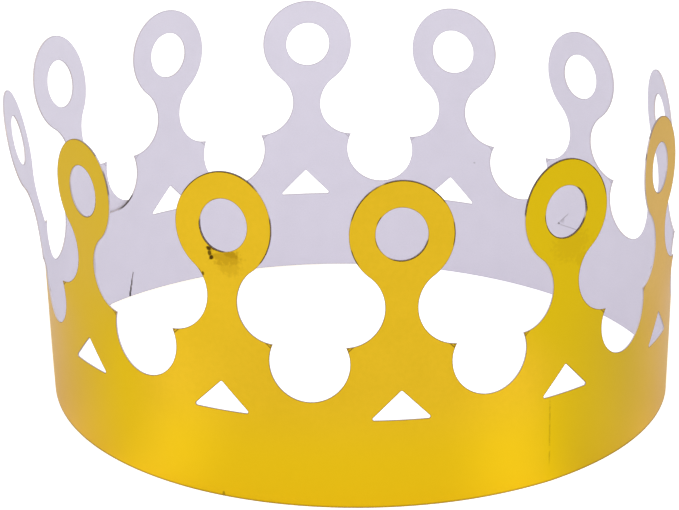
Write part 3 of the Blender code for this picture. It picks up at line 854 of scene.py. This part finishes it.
def build_crown():
    """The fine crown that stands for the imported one."""
    bm = flat_strip()
    for face in bm.faces:
        side = round(face.normal.y)
        face.material_index = FOIL_INDEX if side < 0 else CARD_INDEX if side > 0 else EDGE_INDEX
    mesh = bpy.data.meshes.new("foil_card_crown")
    bm.to_mesh(mesh)
    bm.free()

    flat = np.empty(3 * len(mesh.vertices))
    mesh.vertices.foreach_get("co", flat)
    flat = flat.reshape(-1, 3)
    layout = mesh.uv_layers.new(name="die_cut")
    corners = np.empty(len(mesh.loops), dtype=int)
    mesh.loops.foreach_get("vertex_index", corners)
    layout.uv.foreach_set("vector", flat[corners][:, (0, 2)].ravel())
    from_cut = mesh.attributes.new("from_cut", "FLOAT", "POINT")
    from_cut.data.foreach_set("value", distance_from_cut(flat[:, 0], flat[:, 2]))
    mesh.vertices.foreach_set("co", rolled(flat).ravel())
    mesh.update()

    grain_group, spot_group = card_grain_group(), ragged_spot_group()
    for make_material in (gold_foil, white_card, cut_edge):
        mesh.materials.append(make_material(grain_group, spot_group))
    mesh.shade_smooth()
    mesh.set_sharp_from_angle(angle=math.radians(SHARP_FROM_DEGREES))
    crown = bpy.data.objects.new("foil_card_crown", mesh)
    bpy.context.scene.collection.objects.link(crown)
    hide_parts("crown_strip")
    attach(crown, "root")


def seen_as_background(tree):
    """1 for the rays that look at the background: from the camera, or by way of metal or glass."""
    rays = add_node(tree, "ShaderNodeLightPath").outputs
    seen = maths(tree, "ADD", rays["Is Camera Ray"], rays["Is Glossy Ray"])
    seen = maths(tree, "ADD", seen, rays["Is Transmission Ray"])
    return maths(tree, "MINIMUM", seen, 1.0)


def mirrored_glow(tree, place):
    """How bright the foil sees the table: a faint glow at the front, with a soft pool on either side."""
    x, y, _ = add_node(tree, "ShaderNodeSeparateXYZ", I0=place).outputs
    turn = maths(tree, "ABSOLUTE", maths(tree, "ARCTAN2", x, maths(tree, "MULTIPLY", y, -1.0)))
    front = ramp(tree, turn, *(math.radians(limit) for limit in MIRRORED_GLOW_DEGREES))
    reach = vector_maths(tree, "LENGTH", place).outputs["Value"]
    pool_turn = multiply_add(tree, reach, math.radians(SIDE_POOL_SWEEP_DEGREES_PER_METRE),
                             math.radians(SIDE_POOL_NEAR_DEGREES))
    on_right = maths(tree, "GREATER_THAN", x)
    shift = maths(tree, "MULTIPLY", on_right, math.radians(SIDE_POOL_RIGHT_SHIFT_DEGREES))
    pool_turn = maths(tree, "SUBTRACT", pool_turn, shift)
    from_pool = maths(tree, "ABSOLUTE", maths(tree, "SUBTRACT", turn, pool_turn))
    pool = ramp(tree, from_pool, math.radians(SIDE_POOL_WIDTH_DEGREES), 0.0)
    pool = maths(tree, "MULTIPLY", pool, ramp(tree, reach, *SIDE_POOL_REACHES))
    return multiply_add(tree, pool, SIDE_POOL_GLOW, maths(tree, "MULTIPLY", front, MIRRORED_GLOW))


def build_table():
    """A white table top that goes on past the picture's edges and keeps a faint shadow."""
    bm = bmesh.new()
    bmesh.ops.create_grid(bm, x_segments=1, y_segments=1, size=TABLE_SIZE / 2)
    mesh = bpy.data.meshes.new("table_top")
    bm.to_mesh(mesh)
    bm.free()
    material, tree, shader = new_material("white_table")
    shader.inputs["Base Color"].default_value = (TABLE_WHITE, TABLE_WHITE, TABLE_WHITE, 1)
    shader.inputs["Roughness"].default_value = TABLE_ROUGHNESS
    shader.inputs["Specular IOR Level"].default_value = 0
    shader.inputs["Emission Color"].default_value = (1, 1, 1, 1)
    place = add_node(tree, "ShaderNodeTexCoord").outputs["Object"]
    rays = add_node(tree, "ShaderNodeLightPath").outputs
    mirrored = maths(tree, "MAXIMUM", rays["Is Glossy Ray"], rays["Is Transmission Ray"])
    glow = maths(tree, "MAXIMUM", maths(tree, "MULTIPLY", rays["Is Camera Ray"], TABLE_GLOW),
                 maths(tree, "MULTIPLY", mirrored, mirrored_glow(tree, place)))
    tree.links.new(glow, shader.inputs["Emission Strength"])
    mesh.materials.append(material)
    table = bpy.data.objects.new("table_top", mesh)
    bpy.context.scene.collection.objects.link(table)


def build_world():
    """Plain white surroundings: full white where they are seen, and a soft fill for everything else."""
    world = bpy.data.worlds.new("white_room")
    world.use_nodes = True
    tree = world.node_tree
    strength = add_node(tree, "ShaderNodeMapRange", Value=seen_as_background(tree),
                        To_Min=ROOM_FILL, To_Max=1.0)
    background = tree.nodes["Background"]
    background.inputs["Color"].default_value = (1, 1, 1, 1)
    tree.links.new(strength.outputs[0], background.inputs["Strength"])
    bpy.context.scene.world = world


def softbox(name, place, level):
    """A square soft light aimed at the crown; level is how bright it makes white paper that faces it."""
    place, aim = Vector(place), Vector(CAMERA_AIM)
    lamp = bpy.data.lights.new(name, "AREA")
    lamp.size = SOFTBOX_WIDTH
    lamp.energy = level * math.pi ** 2 * (place - aim).length_squared
    holder = bpy.data.objects.new(name, lamp)
    holder.location = place
    holder.rotation_euler = (aim - place).to_track_quat("-Z", "Y").to_euler()
    bpy.context.scene.collection.objects.link(holder)


def build_lights():
    """Soft lights high at the front: one on either side of the camera, and one above it."""
    for name, place, level in SOFTBOXES:
        softbox(name, place, level)


def build_camera():
    """The photograph's viewpoint, in front of the crown and a little above it."""
    rise = math.radians(CAMERA_RISE_DEGREES)
    back = Vector((0, -math.cos(rise), math.sin(rise)))
    lens = bpy.data.cameras.new("camera")
    lens.lens = CAMERA_LENS
    camera = bpy.data.objects.new("camera", lens)
    camera.location = Vector(CAMERA_AIM) + back * CAMERA_DISTANCE
    camera.rotation_euler = (-back).to_track_quat("-Z", "Y").to_euler()
    bpy.context.scene.collection.objects.link(camera)
    bpy.context.scene.camera = camera


bpy.context.scene.view_settings.view_transform = "Standard"
build_camera()
build_crown()
build_table()
build_world()
build_lights()
